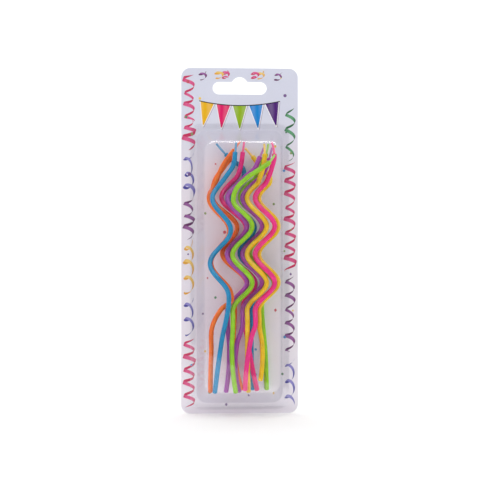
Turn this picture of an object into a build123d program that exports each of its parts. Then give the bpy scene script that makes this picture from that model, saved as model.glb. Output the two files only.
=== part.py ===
"""A hang pack of spiral birthday candles.

A printed card with a hang slot carries a clear formed blister. Inside it lies a nest of
thin candles, each a rod of coloured wax bent into an open coil around its own wick.
Frame: millimetres, +Z up as the pack hangs, the front faces -Y. The origin is the top of
the hang slot, where the peg bears, halfway through the card.
"""

import os
from math import atan, cos, pi, radians, sin, tan
from typing import NamedTuple

from build123d import *

# Wax rod, wick and coil
ROD_DIAMETER = 2.8
ROD_END_ROUND = 0.6
STRAIGHT_END = 1.5
WICK_DIAMETER = 1.0
WICK_CLEARANCE = 0.05
COIL_RADIUS = 5.7
COIL_PITCH = 32.8
STEM_LENGTH = 47.0
KNEE_RADIUS = 9.0

# How the coils nest: least air between rods, the spacing of the rows front to back, and the
# turn of the coil at which a candle's place across the pack is given, turn at which drawn-out
# coils stand level with the others
NEST_GAP = 0.35
ROW_SPACING = 1.0
MIDDLE_TURN = 1.25
LEVEL_TURN = 2.0

# Backing card and hang slot
CARD_THICKNESS = 0.5
CARD_CORNER_RADIUS = 5.5
CARD_SIDE_MARGIN = 5.3
CARD_FOOT_MARGIN = 2.4
HANG_MARGIN = 5.3
HEADER_DROP = 27.6
SLOT_WIDTH = 32.0
SLOT_HEIGHT = 7.4
SLOT_PEAK_RISE = 2.9
SLOT_PEAK_RADIUS = 4.9
SLOT_NECK_ROUND = 1.0

# Blister
FILM_THICKNESS = 0.4
SEAL_GAP = 0.05
WALL_GAP = 0.4
END_PLAY = 2.0
FLANGE_WIDTH = 4.0
FLANGE_CORNER_RADIUS = 7.0
CAVITY_CORNER_RADIUS = 6.0
CAVITY_FRONT_ROUND = 2.0
SIDE_DRAFT = 8.2
END_DRAFT = 18.5


class Candle(NamedTuple):
    """Where one candle lies in the nest.

    Sideways places count nest steps: from the pack's middle for the coil, which leans by so
    many steps a turn, and from the near end of the coil's axis for the stem and the lead.
    Depths count nest steps from the coil axis, negative towards the front. The stem's last
    value is a share of the stem length below the coil, the lead's a count of turns above the
    coils' lower end. The lead's last two points are the wax shoulder and the wick tip. The
    stretch is how far the coil is drawn out, as a multiple of the usual pitch.
    """

    across: float
    lean: float
    row: int
    coil: tuple
    stem: list
    lead: list
    stretch: float = 1.0


CANDLES = {
    "orange_front": Candle(
        across=-2.62,
        lean=-0.25,
        row=0,
        coil=(0.625, 2.125),
        stem=[(-0.05, -0.77, -0.03), (-1.1, -0.77, 0.16), (-1.3, -0.7, 0.5), (-1.4, -0.62, 1)],
        lead=[(0.85, 0.4, 2.66), (2, 0, 2.88), (2.67, 0, 3.02)],
        stretch=1.15,
    ),
    "blue_front": Candle(
        across=-2.65,
        lean=0.3,
        row=-1,
        coil=(0.625, 2.125),
        stem=[(0.3, -0.62, 0.37), (-0.54, -0.62, 1)],
        lead=[(0.5, 0.74, 2.4), (1.38, 0.15, 2.6), (1.6, 0, 2.83), (1.72, 0, 3)],
        stretch=1.15,
    ),
    "orange_back": Candle(
        across=-1.35,
        lean=-1.2,
        row=1,
        coil=(0.25, 2),
        stem=[(-0.6, 1.17, 0.5), (0.4, 1.17, 1)],
        lead=[(-0.95, 1.1, 2.33), (0.3, 0.3, 2.6), (1.1, 0, 2.76), (1.5, 0, 2.88)],
    ),
    "purple_left": Candle(
        across=-0.5,
        lean=0,
        row=0,
        coil=(0, 2.25),
        stem=[(-1.02, -0.62, 0.45), (-1.45, -0.62, 1)],
        lead=[(1.03, 0.68, 2.39), (2.28, 0.04, 2.56), (2.9, 0, 2.76), (3.35, 0, 2.91)],
    ),
    "blue_back": Candle(
        across=0.85, lean=-1.2, row=1, coil=(0.25, 2.25),
        stem=[(-0.6, 1.17, 0.5), (-0.45, 1.17, 1)],
        lead=[
            (0.9, 1.1, 2.42), (0.75, 1.17, 2.55), (-0.35, 1.17, 2.68),
            (-1.5, 1.1, 2.82), (-2.64, 1, 3),
        ],
    ),
    "green_front": Candle(
        across=0.1, lean=0, row=-1, coil=(0, 1.75),
        stem=[(-1.36, -0.62, 0.45), (-0.85, -0.62, 1)],
        lead=[
            (-1.16, -0.77, 1.94), (-0.94, -0.62, 2.13), (0.49, -0.7, 2.36),
            (2.34, -0.86, 2.54), (3.34, -0.86, 2.65), (3.94, -0.86, 2.77),
        ],
    ),
    "pink_back": Candle(
        across=-0.25, lean=-1.2, row=1, coil=(0.25, 2.25),
        stem=[(0.1, 0.5, 0.45), (1.2, 0.45, 1)],
        lead=[(1.1, 0.75, 2.42), (1.5, 0.2, 2.6), (1.75, 0, 2.85), (1.9, 0, 3.02)],
    ),
    "purple_right": Candle(
        across=1.4, lean=0, row=0, coil=(0, 2.25),
        stem=[(-1.95, -0.62, 0.4), (-1.65, -0.62, 1)],
        lead=[(1, 0.78, 2.38), (1.77, 0.1, 2.56), (2.15, 0, 2.73), (2.49, 0, 2.91)],
    ),
    "yellow_front": Candle(
        across=1.9, lean=0, row=-1, coil=(0, 2.25),
        stem=[(-1.2, -0.1, 0.4), (-1.05, 0, 1)],
        lead=[(0.45, 0.55, 2.39), (0.83, 0.1, 2.58), (0.98, 0, 2.8), (0.91, 0, 2.97)],
    ),
    "green_back": Candle(
        across=2.1, lean=-1.2, row=1, coil=(0.25, 2.25),
        stem=[(-0.1, 1.17, 0.5), (0.1, 1.17, 1)],
        lead=[
            (1.05, 0.85, 2.38), (1.6, 0.3, 2.55), (1.9, 0, 2.68),
            (2.35, 0, 2.82), (2.6, 0, 2.99),
        ],
    ),
    "pink_front": Candle(
        across=2.9, lean=0, row=-1, coil=(0, 2.25),
        stem=[(-1.7, -0.8, 0.3), (-2.1, -0.85, 0.5), (-2.53, -0.85, 0.97)],
        lead=[(0.53, 0.66, 2.39), (0.9, 0.15, 2.56), (1.17, 0, 2.8), (0.85, 0, 3)],
    ),
    "yellow_back": Candle(
        across=3.45, lean=0, row=0, coil=(0, 2.25),
        stem=[(-0.87, -0.62, 0.4), (-1.1, -0.62, 0.86)],
        lead=[
            (0.35, 1.65, 2.36), (-0.1, 2, 2.5), (-0.98, 2.05, 2.62),
            (-1.91, 2.05, 2.78), (-2.77, 2.05, 2.92),
        ],
    ),
}

# Coils of one size and phase lie closest where their strands run steepest sideways
COIL_LEAN = atan(2 * pi * COIL_RADIUS / COIL_PITCH)
NEST_STEP = (ROD_DIAMETER + NEST_GAP) / cos(COIL_LEAN)
ROW_PITCH = ROW_SPACING * NEST_STEP
COIL_REACH = COIL_RADIUS + ROD_DIAMETER / 2

# Depths, from the card's front face forwards
CARD_FRONT = -CARD_THICKNESS / 2
FLANGE_BACK = CARD_FRONT - SEAL_GAP
MIDDLE_ROW = CARD_FRONT - WALL_GAP - COIL_REACH - ROW_PITCH
CAVITY_FRONT = MIDDLE_ROW - ROW_PITCH - COIL_REACH - WALL_GAP
CAVITY_DEPTH = FLANGE_BACK - CAVITY_FRONT
SIDE_SLOPE = tan(radians(SIDE_DRAFT))
END_SLOPE = tan(radians(END_DRAFT))


def coil_axis(candle, turn):
    """The candle's coil axis in plan, a number of turns above the coils' lower end."""
    across = candle.across + candle.lean * (turn - MIDDLE_TURN)
    return across * NEST_STEP, MIDDLE_ROW + candle.row * ROW_PITCH


def stem_depth(candle):
    """How far the candle's foot lies in front of the flange, at its front edge."""
    return FLANGE_BACK - coil_axis(candle, 0)[1] - candle.stem[-1][1] * NEST_STEP + ROD_DIAMETER / 2


def tip_depth(candle):
    """How far the candle's wick tip lies in front of the flange, at its front edge."""
    return FLANGE_BACK - coil_axis(candle, 0)[1] - candle.lead[-1][1] * NEST_STEP + WICK_DIAMETER / 2


# The cavity is formed around the nest: the sloping walls clear every coil, foot and wick tip
CAVITY_WIDTH = 2 * max(
    abs(x) + COIL_REACH + WALL_GAP + (FLANGE_BACK - y) * SIDE_SLOPE
    for c in CANDLES.values()
    for x, y in (coil_axis(c, turn) for turn in c.coil)
)
HEAD_ROOM = max(
    c.lead[-1][2] * COIL_PITCH + END_PLAY + WALL_GAP + tip_depth(c) * END_SLOPE
    for c in CANDLES.values()
)
FOOT_ROOM = max(
    c.stem[-1][2] * STEM_LENGTH + WALL_GAP + stem_depth(c) * END_SLOPE for c in CANDLES.values()
)
FLANGE_TOP = -HEADER_DROP
CAVITY_TOP = FLANGE_TOP - FLANGE_WIDTH
COIL_FOOT = CAVITY_TOP - HEAD_ROOM
CAVITY_FOOT = COIL_FOOT - FOOT_ROOM
CAVITY_HEIGHT = CAVITY_TOP - CAVITY_FOOT
CAVITY_MIDDLE = (CAVITY_TOP + CAVITY_FOOT) / 2

CARD_TOP = HANG_MARGIN
CARD_FOOT = CAVITY_FOOT - FLANGE_WIDTH - CARD_FOOT_MARGIN
CARD_HEIGHT = CARD_TOP - CARD_FOOT
FLANGE_SPAN = CAVITY_WIDTH + 2 * FLANGE_WIDTH
CARD_WIDTH = FLANGE_SPAN + 2 * CARD_SIDE_MARGIN


def coil_point(candle, turn):
    """A point of the coil, a number of turns above the coils' lower end."""
    x, y = coil_axis(candle, turn)
    angle = pi - 2 * pi * turn
    rise = COIL_FOOT + COIL_PITCH * (LEVEL_TURN + (turn - LEVEL_TURN) * candle.stretch)
    return Vector(x + COIL_RADIUS * cos(angle), y + COIL_RADIUS * sin(angle), rise)


def coil_direction(candle, turn):
    """The direction of the rising strand there."""
    angle = pi - 2 * pi * turn
    round_x = 2 * pi * COIL_RADIUS * sin(angle) + candle.lean * NEST_STEP
    round_y = -2 * pi * COIL_RADIUS * cos(angle)
    return Vector(round_x, round_y, COIL_PITCH * candle.stretch).normalized()


def arc_direction(before, here, after):
    """The direction, at the middle one of three points, of the arc through them."""
    first = here - before
    second = after - here
    return (first * (1 / first.dot(first)) + second * (1 / second.dot(second))).normalized()


def mirrored(direction, chord):
    """The direction at the other end of an arc with this chord."""
    along = chord.normalized()
    return along * (2 * direction.dot(along)) - direction


def route(candle):
    """The candle's centre line from foot to wick tip: points, and the directions there."""
    start, end = candle.coil
    turns = [start + quarter / 4 for quarter in range(round(4 * (end - start)) + 1)]
    coil = [coil_point(candle, turn) for turn in turns]
    coil_ways = [coil_direction(candle, turn) for turn in turns]
    rising = coil_ways[0]
    sideways = Vector(rising.X, rising.Y, 0)
    spread = sideways.length
    knee = coil[0] - sideways * (KNEE_RADIUS * (1 - rising.Z) / spread) - Vector(0, 0, KNEE_RADIUS * spread)
    x, y = coil_axis(candle, start)
    stem = [
        Vector(x + dx * NEST_STEP, y + dy * NEST_STEP, COIL_FOOT - share * STEM_LENGTH)
        for dx, dy, share in reversed(candle.stem)
    ]
    x, y = coil_axis(candle, end)
    lead = [
        Vector(x + dx * NEST_STEP, y + dy * NEST_STEP, COIL_FOOT + turn * COIL_PITCH)
        for dx, dy, turn in candle.lead
    ]
    points = [*stem, knee, *coil, *lead]
    bends = [arc_direction(*points[i - 1 : i + 2]) for i in range(1, len(points) - 1)]
    below = bends[: len(stem) - 1]
    above = bends[len(stem) + len(coil) :]
    directions = [*below, Vector(0, 0, 1), *coil_ways, *above]
    first = mirrored(directions[0], points[1] - points[0])
    shoulder = directions[-1]
    last = mirrored(shoulder, points[-1] - points[-2])
    points.insert(-2, points[-2] - shoulder * STRAIGHT_END)
    points.insert(1, points[0] + first * STRAIGHT_END)
    return points, [first, first, *directions, shoulder, last]


def arc_joint(p, q, p_dir, q_dir):
    """Where two arcs from p to q in the given directions meet, and their direction there."""
    chord = q - p
    spread = 1 - p_dir.dot(q_dir)
    along = chord.dot(p_dir + q_dir)
    if spread < 1e-9:
        reach = chord.dot(chord) / (2 * along)
    else:
        reach = ((along**2 + 2 * spread * chord.dot(chord)) ** 0.5 - along) / (2 * spread)
    leaving = p + p_dir * reach
    arriving = q - q_dir * reach
    return (leaving + arriving) * 0.5, (arriving - leaving).normalized()


def trace(points, directions):
    """Draw the line through the points as tangent arcs, two between neighbours."""
    for p, q, p_dir, q_dir in zip(points, points[1:], directions, directions[1:]):
        bend = max((q - p).cross(p_dir).length, (q - p).cross(q_dir).length)
        if bend < 1e-4 * (q - p).length:
            Line(p, q)
        else:
            joint, joint_dir = arc_joint(p, q, p_dir, q_dir)
            TangentArc(p, joint, tangent=p_dir)
            TangentArc(joint, q, tangent=joint_dir)


def end_ring(rod, centre):
    """The outer edge of the rod's end face around this point."""
    rings = rod.edges().filter_by(GeomType.CIRCLE)
    outer = [ring for ring in rings if abs(ring.radius - ROD_DIAMETER / 2) < 0.01]
    return [ring for ring in outer if (ring.arc_center - centre).length < 0.01]


def least_distance(line, other, apart):
    """The least distance between two runs of points, more than this many points apart."""
    pairs = ((p, q) for i, p in enumerate(line) for j, q in enumerate(other) if abs(i - j) > apart)
    return min((p - q).length for p, q in pairs)


os.makedirs("parts", exist_ok=True)

# Backing card
with BuildPart() as backing_card:
    with BuildSketch(Plane.XZ.offset(CARD_FRONT)) as card_outline:
        with Locations((0, (CARD_TOP + CARD_FOOT) / 2)):
            RectangleRounded(CARD_WIDTH, CARD_HEIGHT, CARD_CORNER_RADIUS)
        with Locations((0, -SLOT_PEAK_RISE - SLOT_HEIGHT / 2)):
            SlotOverall(SLOT_WIDTH, SLOT_HEIGHT, mode=Mode.SUBTRACT)
        with Locations((0, -SLOT_PEAK_RADIUS)):
            Circle(SLOT_PEAK_RADIUS, mode=Mode.SUBTRACT)
        necks = card_outline.vertices().filter_by(
            lambda v: abs(v.Y + SLOT_PEAK_RISE) < 0.01 and abs(v.X) < SLOT_PEAK_RADIUS
        )
        fillet(necks, SLOT_NECK_ROUND)
    extrude(amount=CARD_THICKNESS)
backing_card.part.label = "backing_card"
export_step(backing_card.part, "parts/backing_card.step")

# Blister: the cavity is formed first, then the film around it
flange_plane = Plane.XZ.offset(-FLANGE_BACK)
front_plane = Plane.XZ.offset(-CAVITY_FRONT)
film_plane = Plane.XZ.offset(FILM_THICKNESS - CAVITY_FRONT)
FRONT_WIDTH = CAVITY_WIDTH - 2 * CAVITY_DEPTH * SIDE_SLOPE
FRONT_HEIGHT = CAVITY_HEIGHT - 2 * CAVITY_DEPTH * END_SLOPE
FILM_SPREAD = 2 * FILM_THICKNESS
FILM_CORNER_RADIUS = CAVITY_CORNER_RADIUS + FILM_THICKNESS

with BuildPart() as cavity:
    with BuildSketch(flange_plane):
        with Locations((0, CAVITY_MIDDLE)):
            RectangleRounded(CAVITY_WIDTH, CAVITY_HEIGHT, CAVITY_CORNER_RADIUS)
    with BuildSketch(front_plane):
        with Locations((0, CAVITY_MIDDLE)):
            RectangleRounded(FRONT_WIDTH, FRONT_HEIGHT, CAVITY_CORNER_RADIUS)
    loft(ruled=True)
    fillet(cavity.faces().sort_by(Axis.Y)[0].edges(), CAVITY_FRONT_ROUND)

with BuildPart() as blister:
    with BuildSketch(flange_plane):
        with Locations((0, CAVITY_MIDDLE)):
            RectangleRounded(CAVITY_WIDTH + FILM_SPREAD, CAVITY_HEIGHT + FILM_SPREAD, FILM_CORNER_RADIUS)
    with BuildSketch(film_plane):
        with Locations((0, CAVITY_MIDDLE)):
            RectangleRounded(FRONT_WIDTH + FILM_SPREAD, FRONT_HEIGHT + FILM_SPREAD, FILM_CORNER_RADIUS)
    loft(ruled=True)
    fillet(blister.faces().sort_by(Axis.Y)[0].edges(), CAVITY_FRONT_ROUND + FILM_THICKNESS)
    with BuildSketch(flange_plane):
        with Locations((0, CAVITY_MIDDLE)):
            RectangleRounded(FLANGE_SPAN, CAVITY_HEIGHT + 2 * FLANGE_WIDTH, FLANGE_CORNER_RADIUS)
    extrude(amount=FILM_THICKNESS)
    add(cavity.part, mode=Mode.SUBTRACT)
blister.part.label = "blister"
export_step(blister.part, "parts/blister.step")

# Candles: each wax rod is one unbroken tube around its wick
lines = {}
for name, candle in CANDLES.items():
    points, directions = route(candle)

    with BuildLine() as wax_line:
        trace(points[:-1], directions[:-1])
    with BuildLine() as wick_line:
        trace(points, directions)

    with BuildPart() as wax:
        with BuildSketch(Plane(points[0], z_dir=directions[0])):
            Circle(ROD_DIAMETER / 2)
            Circle(WICK_DIAMETER / 2 + WICK_CLEARANCE, mode=Mode.SUBTRACT)
        sweep(path=wax_line.wire())
        fillet(end_ring(wax, points[0]) + end_ring(wax, points[-2]), ROD_END_ROUND)
    wax.part.label = "wax_" + name
    export_step(wax.part, "parts/wax_" + name + ".step")

    with BuildPart() as wick:
        with BuildSketch(Plane(points[0], z_dir=directions[0])):
            Circle(WICK_DIAMETER / 2)
        sweep(path=wick_line.wire())
    wick.part.label = "wick_" + name
    export_step(wick.part, "parts/wick_" + name + ".step")

    rod_length = wax_line.wire().length
    samples = round(rod_length)
    lines[name] = [wax_line.wire().position_at(i / samples) for i in range(samples + 1)]
    own_gap = least_distance(lines[name], lines[name], 4 * ROD_DIAMETER) - ROD_DIAMETER
    print(f"{name}: rod {rod_length:.1f} mm long, least gap to itself {own_gap:.2f} mm")

for name, line in lines.items():
    others = {other: least_distance(line, lines[other], -1) for other in lines if other != name}
    nearest = min(others, key=others.get)
    print(f"{name}: nearest neighbour {nearest}, {others[nearest] - ROD_DIAMETER:.2f} mm of air")
print(f"card {CARD_WIDTH:.1f} x {CARD_HEIGHT:.1f} mm")
print(f"cavity {CAVITY_WIDTH:.1f} x {CAVITY_HEIGHT:.1f} x {CAVITY_DEPTH:.1f} mm")
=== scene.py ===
from math import acos, atan, cos, pi, radians, sin, tan
from typing import NamedTuple

import bmesh
import bpy
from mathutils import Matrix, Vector


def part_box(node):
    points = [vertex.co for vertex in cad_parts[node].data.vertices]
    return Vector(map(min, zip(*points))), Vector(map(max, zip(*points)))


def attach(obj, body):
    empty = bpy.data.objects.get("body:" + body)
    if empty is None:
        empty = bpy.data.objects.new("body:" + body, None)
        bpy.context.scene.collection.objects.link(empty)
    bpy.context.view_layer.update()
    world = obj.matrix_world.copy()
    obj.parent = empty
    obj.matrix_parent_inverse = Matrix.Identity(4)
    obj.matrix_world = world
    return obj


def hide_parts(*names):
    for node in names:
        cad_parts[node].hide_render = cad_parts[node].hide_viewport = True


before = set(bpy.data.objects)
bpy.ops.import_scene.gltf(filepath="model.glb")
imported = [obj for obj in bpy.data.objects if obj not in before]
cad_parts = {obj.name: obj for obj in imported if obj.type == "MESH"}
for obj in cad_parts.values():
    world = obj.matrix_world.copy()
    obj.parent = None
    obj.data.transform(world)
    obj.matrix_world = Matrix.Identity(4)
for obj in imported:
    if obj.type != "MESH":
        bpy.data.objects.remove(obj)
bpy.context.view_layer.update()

# Backing card
# One sheet of coated board, 0.5 mm thick, printed and varnished on its front and left plain grey
# behind. It is die-cut with round corners and a peg slot, so its edge shows the pale core.
MM = 0.001
CARD_HALF_THICKNESS = 0.25 * MM
CARD_HALF_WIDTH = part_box("backing_card")[1].x
CARD_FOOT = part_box("backing_card")[0].z
FADE_TOP = -20 * MM  # from here down to the next height the lilac turns warmer and lighter
FADE_FOOT = -55 * MM


def tone(red, green, blue):
    """A colour as a screen shows it, from 0 to 255, as the shader takes it."""
    parts = [value / 255 for value in (red, green, blue)]
    return (*[p / 12.92 if p <= 0.04045 else ((p + 0.055) / 1.055) ** 2.4 for p in parts], 1.0)


def new_finish(name):
    """A material with only its output and a surface shader."""
    finish = bpy.data.materials.new(name)
    finish.use_nodes = True
    nodes = finish.node_tree.nodes
    nodes.clear()
    shader = nodes.new("ShaderNodeBsdfPrincipled")
    output = nodes.new("ShaderNodeOutputMaterial")
    finish.node_tree.links.new(shader.outputs[0], output.inputs["Surface"])
    return finish, finish.node_tree, shader


def add(tree, kind, inputs=(), **settings):
    """Add a node, set it and fill its inputs from values or from other nodes' outputs."""
    node = tree.nodes.new(kind)
    for name, value in settings.items():
        setattr(node, name, value)
    for socket, value in dict(inputs).items():
        if isinstance(value, bpy.types.NodeSocket):
            tree.links.new(value, node.inputs[socket])
        else:
            node.inputs[socket].default_value = value
    return node


def blend_by(tree, share, first, second):
    """Two colours mixed by a share from 0 to 1."""
    node = add(tree, "ShaderNodeMix", data_type="RGBA")
    sockets = (node.inputs[0], node.inputs[6], node.inputs[7])
    for socket, value in zip(sockets, (share, first, second)):
        if isinstance(value, bpy.types.NodeSocket):
            tree.links.new(value, socket)
        else:
            socket.default_value = value
    return node.outputs[2]


def ramp_of(tree, share, stops, interpolation="LINEAR"):
    """A colour ramp, as pairs of place and colour."""
    node = add(tree, "ShaderNodeValToRGB", {0: share})
    ramp = node.color_ramp
    ramp.interpolation = interpolation
    while len(ramp.elements) < len(stops):
        ramp.elements.new(1.0)
    for element, (place, colour) in zip(ramp.elements, stops):
        element.position = place
        element.color = colour
    return node.outputs[0]


def rescale(tree, value, span=(0.0, 1.0), onto=(0.0, 1.0)):
    """A value moved from one span onto another and held inside it."""
    return add(tree, "ShaderNodeMapRange", {
        "Value": value, "From Min": span[0], "From Max": span[1],
        "To Min": onto[0], "To Max": onto[1],
    }).outputs[0]


def object_place(tree):
    """A point's place on the pack."""
    return add(tree, "ShaderNodeTexCoord").outputs["Object"]


def noise_of(tree, place, scale, detail):
    """Cloudy noise from 0 to 1."""
    return add(tree, "ShaderNodeTexNoise", {
        "Vector": place, "Scale": scale, "Detail": detail,
    }).outputs[0]


board, tree, shader = new_finish("varnished board")
place = object_place(tree)
card_place = add(tree, "ShaderNodeSeparateXYZ", {0: place}).outputs
through = rescale(tree, card_place["Y"], (-CARD_HALF_THICKNESS, CARD_HALF_THICKNESS))
below_header = rescale(tree, card_place["Z"], (FADE_TOP, FADE_FOOT))
fibre = noise_of(tree, place, scale=900.0, detail=4.0)
cloud = noise_of(tree, place, scale=28.0, detail=2.0)
sheet_tones = ramp_of(tree, through, [
    (0.0, tone(232, 228, 240)), (0.08, tone(250, 249, 248)),
    (0.85, tone(238, 236, 232)), (0.97, tone(205, 202, 200)),
])
# The lilac is cooler and darker at the top and warmer and lighter lower down.
cool_lilac = blend_by(tree, cloud, tone(214, 216, 234), tone(222, 224, 239))
warm_lilac = blend_by(tree, cloud, tone(234, 228, 239), tone(242, 236, 245))
lilac = blend_by(tree, below_header, cool_lilac, warm_lilac)
paper = blend_by(tree, rescale(tree, through, (0.06, 0.02)), sheet_tones, lilac)
speckle = rescale(tree, fibre, (0.35, 0.75), (0.0, 0.06))
speckled = blend_by(tree, speckle, paper, tone(196, 190, 204))
tree.links.new(speckled, shader.inputs["Base Color"])
tree.links.new(rescale(tree, fibre, onto=(0.3, 0.46)), shader.inputs["Roughness"])
bump = add(tree, "ShaderNodeBump", {"Strength": 0.12, "Distance": 0.02 * MM, "Height": fibre})
tree.links.new(bump.outputs[0], shader.inputs["Normal"])
shader.inputs["Coat Weight"].default_value = 0.25
shader.inputs["Coat Roughness"].default_value = 0.18
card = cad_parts["backing_card"]
card.data.materials.clear()
card.data.materials.append(board)

# Printed streamers
# Curled paper ribbons printed down both long edges of the card and beside the peg slot, in flat
# ink that turns darker where the ribbon curls away. The ink is a film on the card's front.
INK_DEPTH = -CARD_HALF_THICKNESS - 0.012 * MM
EDGE_MARGIN = 0.25 * MM
SLIVER = 0.001 * MM
RIBBON_STEPS = 260
RIBBON_RISE = 0.006 * MM  # outwards from a ribbon's top to its foot, so its loops lie apart
POINT_SLOPE = 14.0  # a ribbon comes to a point over one part in this many of half its length
SEED_STRIDE = 7.3  # along the noise, from one seed to the next
WAVER_TURN = 3.0  # radians that the noise can turn a curl
LEAST_REACH = 0.45  # of the sway
LEAST_NIB = 0.25  # of the nib
NIB_WAVER = 0.5  # of the nib, that the noise can add


def sum_of(tree, operation, first, second=0.0):
    """One step of arithmetic on two values."""
    return add(tree, "ShaderNodeMath", {0: first, 1: second}, operation=operation).outputs[0]


def plus(tree, first, second):
    """Two values added."""
    return sum_of(tree, "ADD", first, second)


def times(tree, first, second):
    """Two values multiplied."""
    return sum_of(tree, "MULTIPLY", first, second)


def start_tree(name, inputs):
    """A node tree for geometry with named inputs."""
    group = bpy.data.node_groups.new(name, "GeometryNodeTree")
    group.interface.new_socket("Geometry", in_out="INPUT", socket_type="NodeSocketGeometry")
    for label, kind in inputs.items():
        group.interface.new_socket(label, in_out="INPUT", socket_type="NodeSocket" + kind)
    group.interface.new_socket("Geometry", in_out="OUTPUT", socket_type="NodeSocketGeometry")
    return group, add(group, "NodeGroupInput").outputs


def end_tree(group, geometry, material):
    """Close a tree: instances made real, then the finish."""
    real = add(group, "GeometryNodeRealizeInstances", {0: geometry})
    dressed = add(group, "GeometryNodeSetMaterial", {
        "Geometry": real.outputs[0], "Material": material,
    })
    add(group, "NodeGroupOutput", {0: dressed.outputs[0]})


def grow(name, source, group, values, printed=False):
    """Run a tree on a mesh or curve and keep the result as a plain mesh, print facing out."""
    seed_object = bpy.data.objects.new(name + "_source", source)
    bpy.context.scene.collection.objects.link(seed_object)
    modifier = seed_object.modifiers.new("grow", "NODES")
    modifier.node_group = group
    for item in group.interface.items_tree:
        if item.in_out == "INPUT" and item.name in values:
            modifier[item.identifier] = values[item.name]
    bpy.context.view_layer.update()
    evaluated = seed_object.evaluated_get(bpy.context.evaluated_depsgraph_get())
    mesh = bpy.data.meshes.new_from_object(evaluated)
    bpy.data.objects.remove(seed_object)
    if printed:
        faces = bmesh.new()
        faces.from_mesh(mesh)
        faces.normal_update()
        bmesh.ops.dissolve_degenerate(faces, edges=faces.edges, dist=SLIVER)
        faces.normal_update()
        bmesh.ops.reverse_faces(faces, faces=[f for f in faces.faces if f.normal.y > 0])
        faces.to_mesh(mesh)
        faces.free()
    piece = bpy.data.objects.new(name, mesh)
    bpy.context.scene.collection.objects.link(piece)
    return piece


def unit_strip(tree, steps):
    """A strip of faces two wide and one long, and each corner's place on it."""
    strip = add(tree, "GeometryNodeMeshGrid", {
        "Size X": 2.0, "Size Y": 1.0, "Vertices X": 2, "Vertices Y": steps,
    })
    corner = add(tree, "GeometryNodeInputPosition").outputs[0]
    return strip.outputs[0], add(tree, "ShaderNodeSeparateXYZ", {0: corner}).outputs


ribbon_group, given = start_tree("curled streamer", {
    "Start": "Vector", "Length": "Float", "Turns": "Float", "Sway": "Float", "Loop": "Float",
    "Nib": "Float", "Nib Turn": "Float", "Edge": "Float", "Seed": "Int", "Ink": "Material",
})
g = ribbon_group
strip, strip_place = unit_strip(g, RIBBON_STEPS)
along = plus(g, strip_place["Y"], 0.5)
wound = times(g, along, given["Turns"])
drift = plus(g, wound, times(g, given["Seed"], SEED_STRIDE))
waver = add(g, "ShaderNodeTexNoise", {
    "W": drift, "Scale": 0.7, "Detail": 1.0,
}, noise_dimensions="1D").outputs[0]
angle = plus(g, times(g, wound, 2 * pi), times(g, waver, WAVER_TURN))
curl = sum_of(g, "COSINE", angle)
reach = times(g, given["Sway"], plus(g, waver, LEAST_REACH))
swing = times(g, reach, sum_of(g, "SINE", angle))
drop = sum_of(g, "SUBTRACT", times(g, given["Loop"], curl), times(g, along, given["Length"]))
from_end = sum_of(g, "PINGPONG", along, 0.5)
pointed = sum_of(g, "MINIMUM", times(g, from_end, POINT_SLOPE), 1.0)
broad = times(g, given["Nib"], plus(g, times(g, waver, NIB_WAVER), LEAST_NIB))
half_nib = times(g, times(g, strip_place["X"], broad), pointed)
nib_across = times(g, half_nib, sum_of(g, "COSINE", given["Nib Turn"]))
nib_up = times(g, half_nib, sum_of(g, "SINE", given["Nib Turn"]))
starting = add(g, "ShaderNodeSeparateXYZ", {0: given["Start"]}).outputs
side = plus(g, plus(g, starting["X"], swing), nib_across)
held_right = sum_of(g, "MINIMUM", side, given["Edge"])
trimmed = sum_of(g, "MAXIMUM", held_right, times(g, given["Edge"], -1.0))
outwards = sum_of(g, "SUBTRACT", starting["Y"], times(g, along, RIBBON_RISE))
height = plus(g, plus(g, starting["Z"], drop), nib_up)
target = add(g, "ShaderNodeCombineXYZ", {"X": trimmed, "Y": outwards, "Z": height}).outputs[0]
toned = add(g, "GeometryNodeStoreNamedAttribute", {
    "Geometry": strip, "Name": "curl", "Value": curl,
}, data_type="FLOAT", domain="POINT")
laid = add(g, "GeometryNodeSetPosition", {"Geometry": toned.outputs[0], "Position": target})
end_tree(g, laid.outputs[0], given["Ink"])


def varnish_ink(shader):
    """The gloss of ink under the card's varnish."""
    shader.inputs["Roughness"].default_value = 0.36
    shader.inputs["Specular IOR Level"].default_value = 0.2
    shader.inputs["Coat Weight"].default_value = 0.1
    shader.inputs["Coat Roughness"].default_value = 0.18


def screened(tree, colour, bare):
    """Ink broken up by the printing screen's fine grain, up to a bare share of paper."""
    grain = noise_of(tree, object_place(tree), scale=1800.0, detail=2.0)
    return blend_by(tree, rescale(tree, grain, onto=(0.0, bare)), colour, tone(240, 236, 246))


def ink(name, dark, light):
    """Printing ink whose tone follows the curl of the ribbon."""
    finish, tree, shader = new_finish(name)
    curl = add(tree, "ShaderNodeAttribute", attribute_name="curl").outputs["Fac"]
    curled = blend_by(tree, rescale(tree, curl, (-0.1, 1.0)), dark, light)
    tree.links.new(screened(tree, curled, bare=0.08), shader.inputs["Base Color"])
    varnish_ink(shader)
    return finish


inks = {
    "rose": ink("rose ink", tone(200, 4, 80), tone(226, 82, 142)),
    "violet": ink("violet ink", tone(62, 56, 154), tone(144, 138, 208)),
    "plum": ink("plum ink", tone(90, 8, 86), tone(154, 88, 158)),
    "gold": ink("gold ink", tone(230, 166, 34), tone(245, 208, 112)),
    "leaf": ink("leaf ink", tone(14, 100, 50), tone(90, 162, 112)),
}
# Each manner of curl: sway, loop and nib in millimetres, and the nib's turn in radians
manners = {
    "zigzag": (3.3, 0.5, 1.9, 1.25),
    "twist": (2.8, 0.9, 1.8, 1.1),
    "ringlet": (2.7, 2.4, 1.6, 0.9),
    "flick": (2.1, 1.0, 1.3, 0.7),
}
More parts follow.
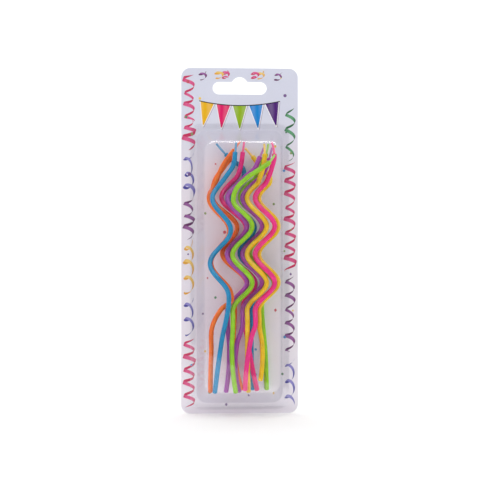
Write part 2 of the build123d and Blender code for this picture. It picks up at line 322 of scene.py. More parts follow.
# Each streamer: name, ink, manner, then its top and its length in millimetres, its turns and seed
streamers = [
    ("left_1", "rose", "zigzag", -30.0, 1.6, 28.0, 4.0, 3),
    ("left_2", "rose", "zigzag", -30.0, -26.0, 17.0, 2.4, 14),
    ("left_3", "violet", "ringlet", -30.0, -44.5, 26.0, 3.1, 5),
    ("left_4", "plum", "twist", -30.2, -71.5, 24.0, 3.4, 8),
    ("left_5", "gold", "ringlet", -30.2, -96.5, 32.0, 3.6, 21),
    ("left_6", "violet", "ringlet", -30.0, -130.5, 22.0, 2.6, 17),
    ("left_7", "rose", "zigzag", -30.0, -154.0, 41.0, 5.4, 11),
    ("right_1", "leaf", "twist", 30.0, -17.0, 32.0, 3.4, 4),
    ("right_2", "rose", "zigzag", 29.8, -49.5, 66.0, 8.6, 9),
    ("right_3", "plum", "twist", 29.8, -117.0, 47.0, 5.8, 12),
    ("right_4", "violet", "ringlet", 29.8, -166.0, 28.0, 3.0, 6),
    ("top_1", "plum", "flick", -22.0, 3.2, 4.4, 1.5, 2),
    ("top_2", "rose", "flick", -8.5, 3.4, 4.4, 1.9, 7),
    ("top_3", "gold", "flick", -12.2, 3.4, 4.0, 1.6, 10),
    ("top_4", "gold", "flick", 12.4, 3.4, 4.0, 1.6, 13),
    ("top_5", "rose", "flick", 9.0, 3.4, 4.4, 1.9, 16),
    ("top_6", "plum", "flick", 23.0, 3.2, 4.4, 1.5, 19),
]
for name, colour, manner, x, z, length, turns, seed in streamers:
    sway, loop, nib, nib_turn = manners[manner]
    piece = grow("printed_streamer_" + name, bpy.data.meshes.new("streamer"), ribbon_group, {
        "Start": (x * MM, INK_DEPTH, z * MM), "Length": length * MM, "Turns": turns,
        "Sway": sway * MM, "Loop": loop * MM, "Nib": nib * MM, "Nib Turn": nib_turn,
        "Edge": CARD_HALF_WIDTH - EDGE_MARGIN, "Seed": seed, "Ink": inks[colour],
    }, printed=True)
    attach(piece, "card")

# Printed confetti
# Dots, lozenges and hexagons scattered over the card's front in six inks, one to two millimetres
# across. They are printed in the same pass as the streamers.
CONFETTI_SEED = 5
CONFETTI_DEPTH = INK_DEPTH - 0.008 * MM
CONFETTI_CORNERS = (4, 12, 4, 6)
LOZENGE_WIDTH = 0.8  # of its height
# Each field of the card that takes confetti: left, right, foot and top in millimetres
confetti_fields = [
    (-33, 33, -197, -36), (-33, -26, -36, -15), (26, 33, -36, -15),
    (-33, -18, -13, 3), (18, 33, -13, 3),
]
shades = [
    (40, 128, 66), (96, 36, 128), (240, 196, 40), (64, 140, 208), (196, 34, 56), (122, 150, 60),
]


def picked_shade(tree, shades):
    """The shade that a printed shape's own tint number picks."""
    tint = add(tree, "ShaderNodeAttribute", attribute_name="tint").outputs["Fac"]
    share = sum_of(tree, "DIVIDE", plus(tree, tint, 0.5), len(shades))
    stops = [(i / len(shades), tone(*shade)) for i, shade in enumerate(shades)]
    return ramp_of(tree, share, stops, "CONSTANT")


confetti_ink, tree, shader = new_finish("confetti ink")
spotted = screened(tree, picked_shade(tree, shades), bare=0.2)
tree.links.new(spotted, shader.inputs["Base Color"])
varnish_ink(shader)


def at_random(tree, seed, draw, kind, least, most):
    """A random value for each point, from the seed and the number of the draw."""
    node = add(tree, "FunctionNodeRandomValue", {
        "Min": least, "Max": most, "Seed": plus(tree, seed, draw),
    }, data_type=kind)
    return [output for output in node.outputs if output.enabled][0]


confetti_group, given = start_tree("confetti", {
    "Spacing": "Float", "Density": "Float", "Least Size": "Float", "Most Size": "Float",
    "Seed": "Int", "Ink": "Material",
})
g = confetti_group
scatter = add(g, "GeometryNodeDistributePointsOnFaces", {
    "Mesh": given["Geometry"], "Distance Min": given["Spacing"],
    "Density Max": given["Density"], "Seed": given["Seed"],
}, distribute_method="POISSON")
shapes = add(g, "GeometryNodeJoinGeometry")
for corners in CONFETTI_CORNERS:
    disc = add(g, "GeometryNodeMeshCircle", {
        "Vertices": corners, "Radius": 1.0,
    }, fill_type="NGON")
    width = LOZENGE_WIDTH if corners == 4 else 1.0
    flat = add(g, "GeometryNodeTransform", {
        "Geometry": disc.outputs[0], "Rotation": (pi / 2, 0, 0), "Scale": (width, 1.0, 1.0),
    })
    shape = add(g, "GeometryNodeGeometryToInstance", {0: flat.outputs[0]})
    g.links.new(shape.outputs[0], shapes.inputs[0])
which = at_random(g, given["Seed"], 1.0, "INT", 0, len(CONFETTI_CORNERS) - 1)
turned = at_random(g, given["Seed"], 2.0, "FLOAT", -0.5, 0.5)
sized = at_random(g, given["Seed"], 3.0, "FLOAT", given["Least Size"], given["Most Size"])
dyed = at_random(g, given["Seed"], 4.0, "INT", 0, len(shades) - 1)
spin = add(g, "ShaderNodeCombineXYZ", {"Y": turned}).outputs[0]
placed = add(g, "GeometryNodeInstanceOnPoints", {
    "Points": scatter.outputs["Points"], "Instance": shapes.outputs[0], "Pick Instance": True,
    "Instance Index": which, "Rotation": spin, "Scale": sized,
})
marked = add(g, "GeometryNodeStoreNamedAttribute", {
    "Geometry": placed.outputs[0], "Name": "tint", "Value": dyed,
}, data_type="FLOAT", domain="INSTANCE")
end_tree(g, marked.outputs[0], given["Ink"])

field = bpy.data.meshes.new("confetti field")
points = [(x * MM, CONFETTI_DEPTH, z * MM)
          for left, right, foot, top in confetti_fields
          for x, z in ((left, foot), (right, foot), (right, top), (left, top))]
faces = [tuple(range(4 * i, 4 * i + 4)) for i in range(len(confetti_fields))]
field.from_pydata(points, [], faces)
confetti = grow("printed_confetti", field, confetti_group, {
    "Spacing": 10 * MM, "Density": 9000.0, "Least Size": 0.5 * MM, "Most Size": 1.1 * MM,
    "Seed": CONFETTI_SEED, "Ink": confetti_ink,
}, printed=True)
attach(confetti, "card")

# Printed pennants
# A string of five pennants across the header, each with a white rim and a soft grey shadow, in
# the five bright inks of the print. They fill the header between the peg slot and the blister.
PENNANT_WIDTH = 8.0 * MM
PENNANT_DROP = 13.5 * MM
BLUNT_TIP = 0.08  # of the pennant's width
RIM_WIDTH = 0.6 * MM
RIM_ABOVE = 0.4  # of the rim's width, past the top
RIM_BELOW = 1.7  # of the rim's width, past the tip
SHADOW_SHIFT = 0.4 * MM
LAYER_LIFT = 0.004 * MM
STRING_LAYER = 3.0
STRING_LIFT = 0.014 * MM
STRING_STEPS = 48
STRING_REACH = 24 * MM
STRING_END = -14.2 * MM
STRING_SAG = -19.5 * MM
flags = [(242, 184, 0), (230, 0, 100), (148, 184, 12), (0, 134, 214), (76, 16, 116)]
pennant_ink, tree, shader = new_finish("pennant ink")
fold = add(tree, "ShaderNodeTexWave", {
    "Vector": object_place(tree), "Scale": 60.0, "Distortion": 2.0,
}, bands_direction="X").outputs["Fac"]
white = tone(250, 248, 252)
shadow_grey = tone(192, 186, 202)
string_black = tone(30, 26, 34)
cloth = blend_by(tree, rescale(tree, fold, onto=(0.0, 0.09)), picked_shade(tree, flags), white)
layer = add(tree, "ShaderNodeAttribute", attribute_name="layer").outputs["Fac"]
# The print's layers from the card outwards: the grey shadow, the rim, the cloth and the string
print_colour = shadow_grey
for number, upper in enumerate((white, cloth, string_black)):
    above = sum_of(tree, "GREATER_THAN", layer, number + 0.5)
    print_colour = blend_by(tree, above, print_colour, upper)
tree.links.new(print_colour, shader.inputs["Base Color"])
varnish_ink(shader)

pennant_group, given = start_tree("string of pennants", {
    "Left End": "Vector", "Sag Point": "Vector", "Right End": "Vector",
    "Count": "Int", "String": "Float", "Ink": "Material",
})
g = pennant_group
line = add(g, "GeometryNodeCurveQuadraticBezier", {
    "Resolution": STRING_STEPS, "Start": given["Left End"],
    "Middle": given["Sag Point"], "End": given["Right End"],
}).outputs[0]
place_in_row = add(g, "GeometryNodeInputIndex").outputs[0]
spots = add(g, "GeometryNodePoints", {"Count": given["Count"]})
sampled = add(g, "GeometryNodeSampleCurve", {
    "Curves": line,
    "Factor": sum_of(g, "DIVIDE", plus(g, place_in_row, 0.5), given["Count"]),
}, mode="FACTOR").outputs
hung = add(g, "GeometryNodeSetPosition", {
    "Geometry": spots.outputs[0], "Position": sampled["Position"],
})
slope = add(g, "ShaderNodeSeparateXYZ", {0: sampled["Tangent"]}).outputs
lean = times(g, sum_of(g, "ARCTAN2", slope["Z"], slope["X"]), -1.0)
tagged = add(g, "GeometryNodeStoreNamedAttribute", {
    "Geometry": hung.outputs[0], "Name": "tilt",
    "Value": add(g, "ShaderNodeCombineXYZ", {"Y": lean}).outputs[0],
}, data_type="FLOAT_VECTOR", domain="POINT")
tilt = add(g, "GeometryNodeInputNamedAttribute", {"Name": "tilt"}, data_type="FLOAT_VECTOR")
flown = add(g, "GeometryNodeInstanceOnPoints", {
    "Points": tagged.outputs[0], "Instance": given["Geometry"], "Rotation": tilt.outputs[0],
})
numbered = add(g, "GeometryNodeStoreNamedAttribute", {
    "Geometry": flown.outputs[0], "Name": "tint", "Value": place_in_row,
}, data_type="FLOAT", domain="INSTANCE")
strip, strip_place = unit_strip(g, STRING_STEPS)
followed = add(g, "GeometryNodeSampleCurve", {
    "Curves": line, "Factor": plus(g, strip_place["Y"], 0.5),
}, mode="FACTOR").outputs
breadth = add(g, "ShaderNodeCombineXYZ", {
    "Y": -STRING_LIFT, "Z": times(g, strip_place["X"], given["String"]),
}).outputs[0]
course = add(g, "ShaderNodeVectorMath", {
    0: followed["Position"], 1: breadth,
}, operation="ADD").outputs[0]
lifted = add(g, "GeometryNodeSetPosition", {"Geometry": strip, "Position": course})
dark = add(g, "GeometryNodeStoreNamedAttribute", {
    "Geometry": lifted.outputs[0], "Name": "layer", "Value": STRING_LAYER,
}, data_type="FLOAT", domain="FACE")
both = add(g, "GeometryNodeJoinGeometry")
g.links.new(numbered.outputs[0], both.inputs[0])
g.links.new(dark.outputs[0], both.inputs[0])
end_tree(g, both.outputs[0], given["Ink"])

pennant = bpy.data.meshes.new("pennant")
points, faces, layers = [], [], []
for number, (rim, shift) in enumerate(((RIM_WIDTH, SHADOW_SHIFT), (RIM_WIDTH, 0.0), (0.0, 0.0))):
    half = PENNANT_WIDTH / 2 + rim
    top, foot = RIM_ABOVE * rim, -PENNANT_DROP - RIM_BELOW * rim
    outline = [(-half, top), (-half * BLUNT_TIP, foot), (half * BLUNT_TIP, foot), (half, top)]
    faces.append(tuple(range(len(points), len(points) + 4)))
    points += [(x + shift, -LAYER_LIFT * number, z - shift) for x, z in outline]
    layers.append(float(number))
pennant.from_pydata(points, [], faces)
pennant.attributes.new("layer", "FLOAT", "FACE").data.foreach_set("value", layers)
pennants = grow("printed_pennants", pennant, pennant_group, {
    "Left End": (-STRING_REACH, INK_DEPTH, STRING_END), "Sag Point": (0, INK_DEPTH, STRING_SAG),
    "Right End": (STRING_REACH, INK_DEPTH, STRING_END), "Count": len(flags),
    "String": 0.28 * MM, "Ink": pennant_ink,
}, printed=True)
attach(pennants, "card")

# Wax rods
# Twelve rods of dyed paraffin wax, 2.8 mm thick, bent warm into an open left-handed coil with a
# straight stem below it and a loose lead above. They lie nested in three rows.
ROD_RADIUS = 1.4 * MM
ROD_END_ROUND = 0.6 * MM
STRAIGHT_END = 1.5 * MM
NEARLY_STRAIGHT = 0.01  # radians
COIL_RADIUS = 5.7 * MM
COIL_PITCH = 32.8 * MM
COIL_FOOT = -138.18 * MM
STEM_LENGTH = 47.0 * MM
KNEE_RADIUS = 9.0 * MM
COIL_LEAN = atan(2 * pi * COIL_RADIUS / COIL_PITCH)
NEST_GAP = 0.35 * MM
CARD_GAP = 0.4 * MM
NEST_STEP = (2 * ROD_RADIUS + NEST_GAP) / cos(COIL_LEAN)
MIDDLE_TURN = 1.25  # where a coil's place across the nest is given
LEVEL_TURN = 2.0  # where a stretched coil is level with the others
MIDDLE_ROW = -CARD_HALF_THICKNESS - CARD_GAP - COIL_RADIUS - ROD_RADIUS - NEST_STEP
DEEP_CLOUD = 0.86  # of the dye's tone
PALE_CLOUD = 1.12  # of the dye's tone
PALE_LIFT = 0.004


class Candle(NamedTuple):
    """A candle's place in the nest, in nest steps, turns and shares of the stem's length."""

    across: float  # of the coil, at the nest's middle turn
    lean: float  # steps to the right for each turn
    row: int  # in front of the middle row, or behind it
    coil: tuple  # its first and last turn
    stem: list  # steps to the right and back of the coil, share down
    lead: list  # steps to the right and back of the coil, turn
    stretch: float = 1.0  # how far the coil is drawn out


candles = {
    "orange_front": Candle(
        -2.62, -0.25, 0, (0.625, 2.125), stretch=1.15,
        stem=[(-0.05, -0.77, -0.03), (-1.1, -0.77, 0.16), (-1.3, -0.7, 0.5), (-1.4, -0.62, 1)],
        lead=[(0.85, 0.4, 2.66), (2, 0, 2.88), (2.67, 0, 3.02)],
    ),
    "blue_front": Candle(
        -2.65, 0.3, -1, (0.625, 2.125), stretch=1.15,
        stem=[(0.3, -0.62, 0.37), (-0.54, -0.62, 1)],
        lead=[(0.5, 0.74, 2.4), (1.38, 0.15, 2.6), (1.6, 0, 2.83), (1.72, 0, 3)],
    ),
    "orange_back": Candle(
        -1.35, -1.2, 1, (0.25, 2),
        stem=[(-0.6, 1.17, 0.5), (0.4, 1.17, 1)],
        lead=[(-0.95, 1.1, 2.33), (0.3, 0.3, 2.6), (1.1, 0, 2.76), (1.5, 0, 2.88)],
    ),
    "purple_left": Candle(
        -0.5, 0, 0, (0, 2.25),
        stem=[(-1.02, -0.62, 0.45), (-1.45, -0.62, 1)],
        lead=[(1.03, 0.68, 2.39), (2.28, 0.04, 2.56), (2.9, 0, 2.76), (3.35, 0, 2.91)],
    ),
    "blue_back": Candle(
        0.85, -1.2, 1, (0.25, 2.25),
        stem=[(-0.6, 1.17, 0.5), (-0.45, 1.17, 1)],
        lead=[(0.9, 1.1, 2.42), (0.75, 1.17, 2.55), (-0.35, 1.17, 2.68),
              (-1.5, 1.1, 2.82), (-2.64, 1, 3)],
    ),
    "green_front": Candle(
        0.1, 0, -1, (0, 1.75),
        stem=[(-1.36, -0.62, 0.45), (-0.85, -0.62, 1)],
        lead=[(-1.16, -0.77, 1.94), (-0.94, -0.62, 2.13), (0.49, -0.7, 2.36),
              (2.34, -0.86, 2.54), (3.34, -0.86, 2.65), (3.94, -0.86, 2.77)],
    ),
    "pink_back": Candle(
        -0.25, -1.2, 1, (0.25, 2.25),
        stem=[(0.1, 0.5, 0.45), (1.2, 0.45, 1)],
        lead=[(1.1, 0.75, 2.42), (1.5, 0.2, 2.6), (1.75, 0, 2.85), (1.9, 0, 3.02)],
    ),
    "purple_right": Candle(
        1.4, 0, 0, (0, 2.25),
        stem=[(-1.95, -0.62, 0.4), (-1.65, -0.62, 1)],
        lead=[(1, 0.78, 2.38), (1.77, 0.1, 2.56), (2.15, 0, 2.73), (2.49, 0, 2.91)],
    ),
    "yellow_front": Candle(
        1.9, 0, -1, (0, 2.25),
        stem=[(-1.2, -0.1, 0.4), (-1.05, 0, 1)],
        lead=[(0.45, 0.55, 2.39), (0.83, 0.1, 2.58), (0.98, 0, 2.8), (0.91, 0, 2.97)],
    ),
    "green_back": Candle(
        2.1, -1.2, 1, (0.25, 2.25),
        stem=[(-0.1, 1.17, 0.5), (0.1, 1.17, 1)],
        lead=[(1.05, 0.85, 2.38), (1.6, 0.3, 2.55), (1.9, 0, 2.68),
              (2.35, 0, 2.82), (2.6, 0, 2.99)],
    ),
    "pink_front": Candle(
        2.9, 0, -1, (0, 2.25),
        stem=[(-1.7, -0.8, 0.3), (-2.1, -0.85, 0.5), (-2.53, -0.85, 0.97)],
        lead=[(0.53, 0.66, 2.39), (0.9, 0.15, 2.56), (1.17, 0, 2.8), (0.85, 0, 3)],
    ),
    "yellow_back": Candle(
        3.45, 0, 0, (0, 2.25),
        stem=[(-0.87, -0.62, 0.4), (-1.1, -0.62, 0.86)],
        lead=[(0.35, 1.65, 2.36), (-0.1, 2, 2.5), (-0.98, 2.05, 2.62),
              (-1.91, 2.05, 2.78), (-2.77, 2.05, 2.92)],
    ),
}


def coil_axis(candle, turn):
    """The point of the coil's leaning axis at a turn."""
    across = candle.across + candle.lean * (turn - MIDDLE_TURN)
    rise = COIL_PITCH * (LEVEL_TURN + (turn - LEVEL_TURN) * candle.stretch)
    return Vector((across * NEST_STEP, MIDDLE_ROW + candle.row * NEST_STEP, COIL_FOOT + rise))


def coil_direction(candle, turn):
    """The direction of the rising strand at a turn."""
    angle = pi - 2 * pi * turn
    speed = 2 * pi * COIL_RADIUS
    rise = COIL_PITCH * candle.stretch
    across = speed * sin(angle) + candle.lean * NEST_STEP
    return Vector((across, -speed * cos(angle), rise)).normalized()


def bend_direction(before, here, after):
    """The direction, at the middle one of three points, of the arc through them."""
    first, second = here - before, after - here
    return (first / first.length_squared + second / second.length_squared).normalized()


def mirrored(direction, chord):
    """The direction at the other end of an arc with this chord."""
    side = chord.normalized()
    return side * (2 * direction.dot(side)) - direction


def candle_line(candle):
    """The candle's centre line from foot to wick tip: points, and the directions there."""
    start, end = candle.coil
    turns = [start + quarter / 4 for quarter in range(round(4 * (end - start)) + 1)]
    angles = [pi - 2 * pi * t for t in turns]
    coil = [coil_axis(candle, t) + Vector((cos(a), sin(a), 0)) * COIL_RADIUS
            for t, a in zip(turns, angles)]
    ways = [coil_direction(candle, t) for t in turns]
    sideways = ways[0] * Vector((1, 1, 0))
    spread = sideways.length
    inwards = sideways * (KNEE_RADIUS * (1 - ways[0].z) / spread)
    knee = coil[0] - inwards - Vector((0, 0, KNEE_RADIUS * spread))
    foot, head = coil_axis(candle, start), coil_axis(candle, end)
    below = [Vector((foot.x + dx * NEST_STEP, foot.y + dy * NEST_STEP,
                     COIL_FOOT - share * STEM_LENGTH))
             for dx, dy, share in reversed(candle.stem)]
    above = [Vector((head.x + dx * NEST_STEP, head.y + dy * NEST_STEP,
                     COIL_FOOT + turn * COIL_PITCH))
             for dx, dy, turn in candle.lead]
    points = [*below, knee, *coil, *above]
    bends = [bend_direction(*points[i - 1:i + 2]) for i in range(1, len(points) - 1)]
    ways = [*bends[:len(below) - 1], Vector((0, 0, 1)), *ways, *bends[len(below) + len(coil):]]
    first = mirrored(ways[0], points[1] - points[0])
    last = mirrored(ways[-1], points[-1] - points[-2])
    points.insert(-2, points[-2] - ways[-1] * STRAIGHT_END)
    points.insert(1, points[0] + first * STRAIGHT_END)
    return points, [first, first, *ways, ways[-1], last]


def smooth_curve(name, points, ways):
    """A curve through the points in the given directions, as near to arcs as a curve gets."""
    curve = bpy.data.curves.new(name, "CURVE")
    curve.dimensions = "3D"
    curve.resolution_u = 24
    spline = curve.splines.new("BEZIER")
    spline.bezier_points.add(len(points) - 1)
    for knot, point in zip(spline.bezier_points, points):
        knot.co = point
        knot.handle_left_type = knot.handle_right_type = "FREE"
        knot.handle_left = knot.handle_right = point
    for i in range(len(points) - 1):
        chord = (points[i + 1] - points[i]).length
        turn = acos(max(-1.0, min(1.0, ways[i].dot(ways[i + 1]))))
        bulge = 1 / 3 if turn < NEARLY_STRAIGHT else (2 / 3) * tan(turn / 4) / sin(turn / 2)
        reach = chord * bulge
        spline.bezier_points[i].handle_right = points[i] + ways[i] * reach
        spline.bezier_points[i + 1].handle_left = points[i + 1] - ways[i + 1] * reach
    return curve


rod_group, given = start_tree("wax rod", {
    "Radius": "Float", "End Round": "Float", "Step": "Float", "Sides": "Int",
    "Waver": "Float", "Wax": "Material",
})
g = rod_group
line = add(g, "GeometryNodeResampleCurve", {
    "Curve": given["Geometry"], "Length": given["Step"],
}, mode="LENGTH")
done = add(g, "GeometryNodeSplineParameter").outputs["Length"]
whole = add(g, "GeometryNodeSplineLength").outputs["Length"]
from_end = sum_of(g, "MINIMUM", done, sum_of(g, "SUBTRACT", whole, done))
short = sum_of(g, "MAXIMUM", sum_of(g, "SUBTRACT", given["End Round"], from_end), 0.0)
round_squared = times(g, given["End Round"], given["End Round"])
left_over = sum_of(g, "SUBTRACT", round_squared, times(g, short, short))
rounding = sum_of(g, "SQRT", sum_of(g, "MAXIMUM", left_over, 0.0))
thick = plus(g, sum_of(g, "SUBTRACT", given["Radius"], given["End Round"]), rounding)
uneven = add(g, "ShaderNodeTexNoise", {
    "W": done, "Scale": 160.0, "Detail": 1.0,
}, noise_dimensions="1D").outputs[0]
wavering = sum_of(g, "SUBTRACT", thick, times(g, uneven, given["Waver"]))
ring = add(g, "GeometryNodeCurvePrimitiveCircle", {"Radius": 1.0, "Resolution": given["Sides"]})
tube = add(g, "GeometryNodeCurveToMesh", {
    "Curve": line.outputs[0], "Profile Curve": ring.outputs[0], "Scale": wavering,
    "Fill Caps": True,
})
smooth = add(g, "GeometryNodeSetShadeSmooth", {
    "Geometry": tube.outputs[0], "Shade Smooth": True,
})
end_tree(g, smooth.outputs[0], given["Wax"])

wax_tones = {
    "orange": (255, 116, 28), "blue": (0, 142, 194), "purple": (178, 76, 184),
    "green": (152, 214, 18), "yellow": (245, 200, 12), "pink": (252, 38, 140),
}


def wax_finish(colour):
    """Dyed wax: light soaks in a little, the skin is satin and faintly cloudy."""
    finish, tree, shader = new_finish(colour + " wax")
    dye = tone(*wax_tones[colour])
    place = object_place(tree)
    cloud = noise_of(tree, place, scale=190.0, detail=3.0)
    skin = noise_of(tree, place, scale=1500.0, detail=3.0)
    deeper = tuple(DEEP_CLOUD * c for c in dye[:3]) + (1.0,)
    paler = tuple(min(1.0, PALE_CLOUD * c + PALE_LIFT) for c in dye[:3]) + (1.0,)
    clouded = blend_by(tree, rescale(tree, cloud, (0.3, 0.7)), deeper, paler)
    tree.links.new(clouded, shader.inputs["Base Color"])
    tree.links.new(rescale(tree, skin, onto=(0.46, 0.6)), shader.inputs["Roughness"])
    bump = add(tree, "ShaderNodeBump", {"Strength": 0.2, "Distance": 0.04 * MM, "Height": skin})
    tree.links.new(bump.outputs[0], shader.inputs["Normal"])
    shader.inputs["Subsurface Weight"].default_value = 0.3
    shader.inputs["Subsurface Radius"].default_value = [0.5 + 0.5 * c for c in dye[:3]]
    shader.inputs["Subsurface Scale"].default_value = 0.9 * MM
    shader.inputs["IOR"].default_value = 1.44
    shader.inputs["Specular IOR Level"].default_value = 0.22
    return finish


waxes = {colour: wax_finish(colour) for colour in wax_tones}
for name, candle in candles.items():
    colour = name.split("_")[0]
    points, ways = candle_line(candle)
    piece = grow("wax_rod_" + name, smooth_curve(name, points[:-1], ways[:-1]), rod_group, {
        "Radius": ROD_RADIUS, "End Round": ROD_END_ROUND, "Step": 0.25 * MM, "Sides": 24,
        "Waver": 0.03 * MM, "Wax": waxes[colour],
    })
    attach(piece, "candle_" + name)
    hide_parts("wax_" + name)

# Wicks
# Twelve cords of three cotton strands laid together, dyed a little paler than their own candle.
# Each runs through its rod from the foot and stands out above the wax shoulder.
STRANDS = 3
STRAND_RADIUS = 0.37 * MM
LAY_RADIUS = 0.33 * MM
SOAKED_PALING = 0.03  # of the way from the dye to white
BARE_PALING = 0.2  # of the way from the dye to white
wick_group, given = start_tree("laid wick", {
    "Strand Radius": "Float", "Lay Radius": "Float", "Lay Length": "Float", "Step": "Float",
    "Cotton": "Material",
})


def scaled(tree, vector, factor):
    """A direction made longer or shorter."""
    return add(tree, "ShaderNodeVectorMath", {
        0: vector, "Scale": factor,
    }, operation="SCALE").outputs[0]


g = wick_group
line = add(g, "GeometryNodeResampleCurve", {
    "Curve": given["Geometry"], "Length": given["Step"],
}, mode="LENGTH")
done = add(g, "GeometryNodeSplineParameter").outputs["Length"]
wound_on = times(g, sum_of(g, "DIVIDE", done, given["Lay Length"]), 2 * pi)
normal = add(g, "GeometryNodeInputNormal").outputs[0]
tangent = add(g, "GeometryNodeInputTangent").outputs[0]
binormal = add(g, "ShaderNodeVectorMath", {
    0: tangent, 1: normal,
}, operation="CROSS_PRODUCT").outputs[0]
strand_ring = add(g, "GeometryNodeCurvePrimitiveCircle", {
    "Radius": given["Strand Radius"], "Resolution": 8,
})
strands = add(g, "GeometryNodeJoinGeometry")
for number in range(STRANDS):
    angle = plus(g, wound_on, number * 2 * pi / STRANDS)
    out = scaled(g, normal, sum_of(g, "COSINE", angle))
    over = scaled(g, binormal, sum_of(g, "SINE", angle))
    both = add(g, "ShaderNodeVectorMath", {0: out, 1: over}, operation="ADD").outputs[0]
    shift = scaled(g, both, given["Lay Radius"])
    strand = add(g, "GeometryNodeSetPosition", {"Geometry": line.outputs[0], "Offset": shift})
    tube = add(g, "GeometryNodeCurveToMesh", {
        "Curve": strand.outputs[0], "Profile Curve": strand_ring.outputs[0], "Fill Caps": True,
    })
    g.links.new(tube.outputs[0], strands.inputs[0])
smooth = add(g, "GeometryNodeSetShadeSmooth", {
    "Geometry": strands.outputs[0], "Shade Smooth": True,
})
end_tree(g, smooth.outputs[0], given["Cotton"])


def cotton_finish(colour):
    """Dyed cotton stiffened with wax: a little paler than the rod, fibrous and dull."""
    finish, tree, shader = new_finish(colour + " wick cotton")
    dye = tone(*wax_tones[colour])
    fibre = noise_of(tree, object_place(tree), scale=4200.0, detail=3.0)
    soaked = tuple(c + SOAKED_PALING * (1 - c) for c in dye[:3]) + (1.0,)
    bare = tuple(c + BARE_PALING * (1 - c) for c in dye[:3]) + (1.0,)
    tree.links.new(blend_by(tree, fibre, soaked, bare), shader.inputs["Base Color"])
    tree.links.new(rescale(tree, fibre, onto=(0.5, 0.8)), shader.inputs["Roughness"])
    bump = add(tree, "ShaderNodeBump", {"Strength": 0.4, "Distance": 0.04 * MM, "Height": fibre})
    tree.links.new(bump.outputs[0], shader.inputs["Normal"])
    shader.inputs["Sheen Weight"].default_value = 0.25
    return finish


cottons = {colour: cotton_finish(colour) for colour in wax_tones}
for name, candle in candles.items():
    colour = name.split("_")[0]
    points, ways = candle_line(candle)
    piece = grow("wick_cord_" + name, smooth_curve(name, points, ways), wick_group, {
        "Strand Radius": STRAND_RADIUS, "Lay Radius": LAY_RADIUS, "Lay Length": 2.6 * MM,
        "Step": 0.3 * MM, "Cotton": cottons[colour],
    })
    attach(piece, "candle_" + name)
    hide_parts("wick_" + name)

# Blister
# One sheet of clear plastic film, drawn warm over a mould into a deep tray with sloping walls and
# heat-sealed to the card by its flat flange. It is thin, glossy and very slightly cloudy.
FACE_GLOSS = 0.02
GRAZING_GLOSS = 0.2
GRAZING_POWER = 5.0
RIPPLE_BLUR = 0.03
MOST_HAZE = 0.012
SLANT_TINT = 0.26
EDGE_TINT = 0.35
EDGE_POWER = 8.0
clear_tint = (0.997, 0.996, 0.998, 1.0)
thick_tint = (0.83, 0.845, 0.88, 1.0)
film, tree, shader = new_finish("clear film")
place = object_place(tree)
ripple = noise_of(tree, place, scale=55.0, detail=1.0)
scuff = noise_of(tree, place, scale=700.0, detail=5.0)
facing = add(tree, "ShaderNodeLayerWeight", {"Blend": 0.5}).outputs["Facing"]
grazing = times(tree, sum_of(tree, "POWER", facing, GRAZING_POWER), GRAZING_GLOSS)
gloss = plus(tree, grazing, FACE_GLOSS)
haze = rescale(tree, scuff, (0.45, 0.8), (0.0, MOST_HAZE))
drawn = rescale(tree, facing, (0.02, 0.1), (0.02, 0.14))
blur = plus(tree, drawn, times(tree, ripple, RIPPLE_BLUR))
mirror = add(tree, "ShaderNodeBsdfGlossy", {"Roughness": blur})
slanting = rescale(tree, facing, (0.04, 0.35), (0.0, SLANT_TINT))
edge_on = times(tree, sum_of(tree, "POWER", facing, EDGE_POWER), EDGE_TINT)
tinted = blend_by(tree, plus(tree, slanting, edge_on), clear_tint, thick_tint)
clear = add(tree, "ShaderNodeBsdfTransparent", {"Color": tinted})
shader.inputs["Base Color"].default_value = (0.9, 0.9, 0.93, 1.0)
shader.inputs["Roughness"].default_value = 0.5
cloudy = add(tree, "ShaderNodeMixShader", {0: haze, 1: clear.outputs[0], 2: shader.outputs[0]})
glossy = add(tree, "ShaderNodeMixShader", {0: gloss, 1: cloudy.outputs[0], 2: mirror.outputs[0]})
output = [n for n in tree.nodes if n.type == "OUTPUT_MATERIAL"][0]
tree.links.new(glossy.outputs[0], output.inputs["Surface"])
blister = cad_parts["blister"]
blister.data.materials.clear()
blister.data.materials.append(film)

# Stage
# A pale seamless sweep of paper under and behind the pack in a soft white room, three soft lamps
# for light, two more that only show as shine on the film, and a camera level with the pack.
FLOOR_REACH = 4.5
BEND_START = 0.9
BEND_RADIUS = 0.5
BEND_STEP = 6  # degrees
WALL_HEIGHT = 2.2
sweep = bpy.data.meshes.new("sweep")
bend = [(BEND_START + BEND_RADIUS * sin(radians(a)),
         CARD_FOOT + BEND_RADIUS - BEND_RADIUS * cos(radians(a))) for a in range(0, 91, BEND_STEP)]
wall_top = (BEND_START + BEND_RADIUS, CARD_FOOT + WALL_HEIGHT)
profile = [(-FLOOR_REACH, CARD_FOOT), *bend, wall_top]
points = [(x, y, z) for y, z in profile for x in (-FLOOR_REACH, FLOOR_REACH)]
faces = [(2 * i, 2 * i + 1, 2 * i + 3, 2 * i + 2) for i in range(len(profile) - 1)]
sweep.from_pydata(points, [], faces)
sweep.shade_smooth()
sweep_paper, tree, shader = new_finish("white sweep paper")
grain = noise_of(tree, object_place(tree), scale=30.0, detail=2.0)
mottled = blend_by(tree, grain, (0.9, 0.9, 0.9, 1.0), (0.93, 0.93, 0.93, 1.0))
tree.links.new(mottled, shader.inputs["Base Color"])
shader.inputs["Roughness"].default_value = 0.9
shader.inputs["Emission Color"].default_value = (1.0, 1.0, 1.0, 1.0)
shader.inputs["Emission Strength"].default_value = 0.05
sweep.materials.append(sweep_paper)
floor = bpy.data.objects.new("sweep", sweep)
floor.visible_glossy = False
bpy.context.scene.collection.objects.link(floor)

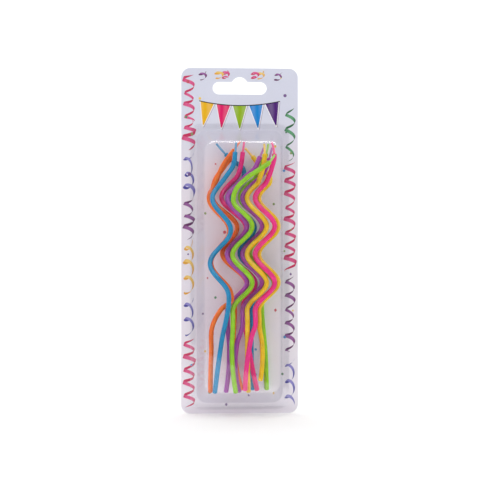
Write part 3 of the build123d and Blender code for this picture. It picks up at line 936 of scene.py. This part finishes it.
scene = bpy.context.scene
scene.view_settings.view_transform = "Standard"
world = bpy.data.worlds.new("soft room")
world.use_nodes = True
sky = world.node_tree
sky_place = add(sky, "ShaderNodeTexCoord").outputs["Generated"]
backwards = add(sky, "ShaderNodeSeparateXYZ", {0: sky_place}).outputs["Y"]
dimmed = rescale(sky, backwards, (-1.0, -0.5), (0.3, 0.9))
sky.links.new(dimmed, sky.nodes["Background"].inputs["Strength"])
sky.nodes["Background"].inputs["Color"].default_value = (1.0, 1.0, 1.0, 1.0)
scene.world = world


def hang_lamp(name, spot, turn, width, height, power):
    """A soft rectangular lamp, out of the camera's sight."""
    lamp = bpy.data.lights.new(name, "AREA")
    lamp.shape, lamp.size, lamp.size_y, lamp.energy = "RECTANGLE", width, height, power
    holder = bpy.data.objects.new(name, lamp)
    holder.location = spot
    holder.rotation_euler = turn
    holder.visible_camera = False
    scene.collection.objects.link(holder)
    return holder


def turned_along(direction):
    """The turn of a lamp or camera that looks in a direction."""
    return direction.to_track_quat("-Z", "Y").to_euler()


# Each lamp: name, place and the point it is aimed at, then its width, height and power
lights = [
    ("key", (-0.55, -0.75, 0.5), (0.0, 0.0, -0.1), 0.22, 0.5, 1.1),
    ("fill", (0.8, -0.7, 0.1), (0.0, 0.0, -0.1), 0.6, 0.6, 0.6),
    ("back", (0.0, 0.75, 0.9), (0.0, 1.0, -0.2), 1.4, 0.5, 7.0),
]
for name, spot, target, width, height, power in lights:
    hang_lamp(name, spot, turned_along(Vector(target) - Vector(spot)), width, height, power)

# Each lamp that only shows as shine: name, place and turn, then its width, height and power
shines = [
    ("glare", (-0.184, -0.369, CARD_FOOT + 1 * MM), (pi, 0.0, -0.104), 0.4, 0.72, 2.3),
    ("rim", (0.05, -0.36, 0.5), (radians(28), 0.0, 0.0), 0.9, 0.5, 19.0),
]
for name, spot, turn, width, height, power in shines:
    hang_lamp(name, spot, turn, width, height, power).visible_diffuse = False

CAMERA_TURN = radians(-3.9)
CAMERA_RISE = radians(-0.3)
CAMERA_DISTANCE = 0.84
SENSOR_WIDTH = 36.0  # millimetres
FOCAL_PIXELS = 1418
FRAME_PIXELS = 480
aim = Vector((0.0002, 0.0, -0.0965))
lens = bpy.data.cameras.new("camera")
lens.sensor_width = SENSOR_WIDTH
lens.lens = SENSOR_WIDTH * FOCAL_PIXELS / FRAME_PIXELS
camera = bpy.data.objects.new("camera", lens)
level = cos(CAMERA_RISE)
away = Vector((sin(CAMERA_TURN) * level, -cos(CAMERA_TURN) * level, sin(CAMERA_RISE)))
camera.location = aim + away * CAMERA_DISTANCE
camera.rotation_euler = turned_along(-away)
scene.collection.objects.link(camera)
scene.camera = camera
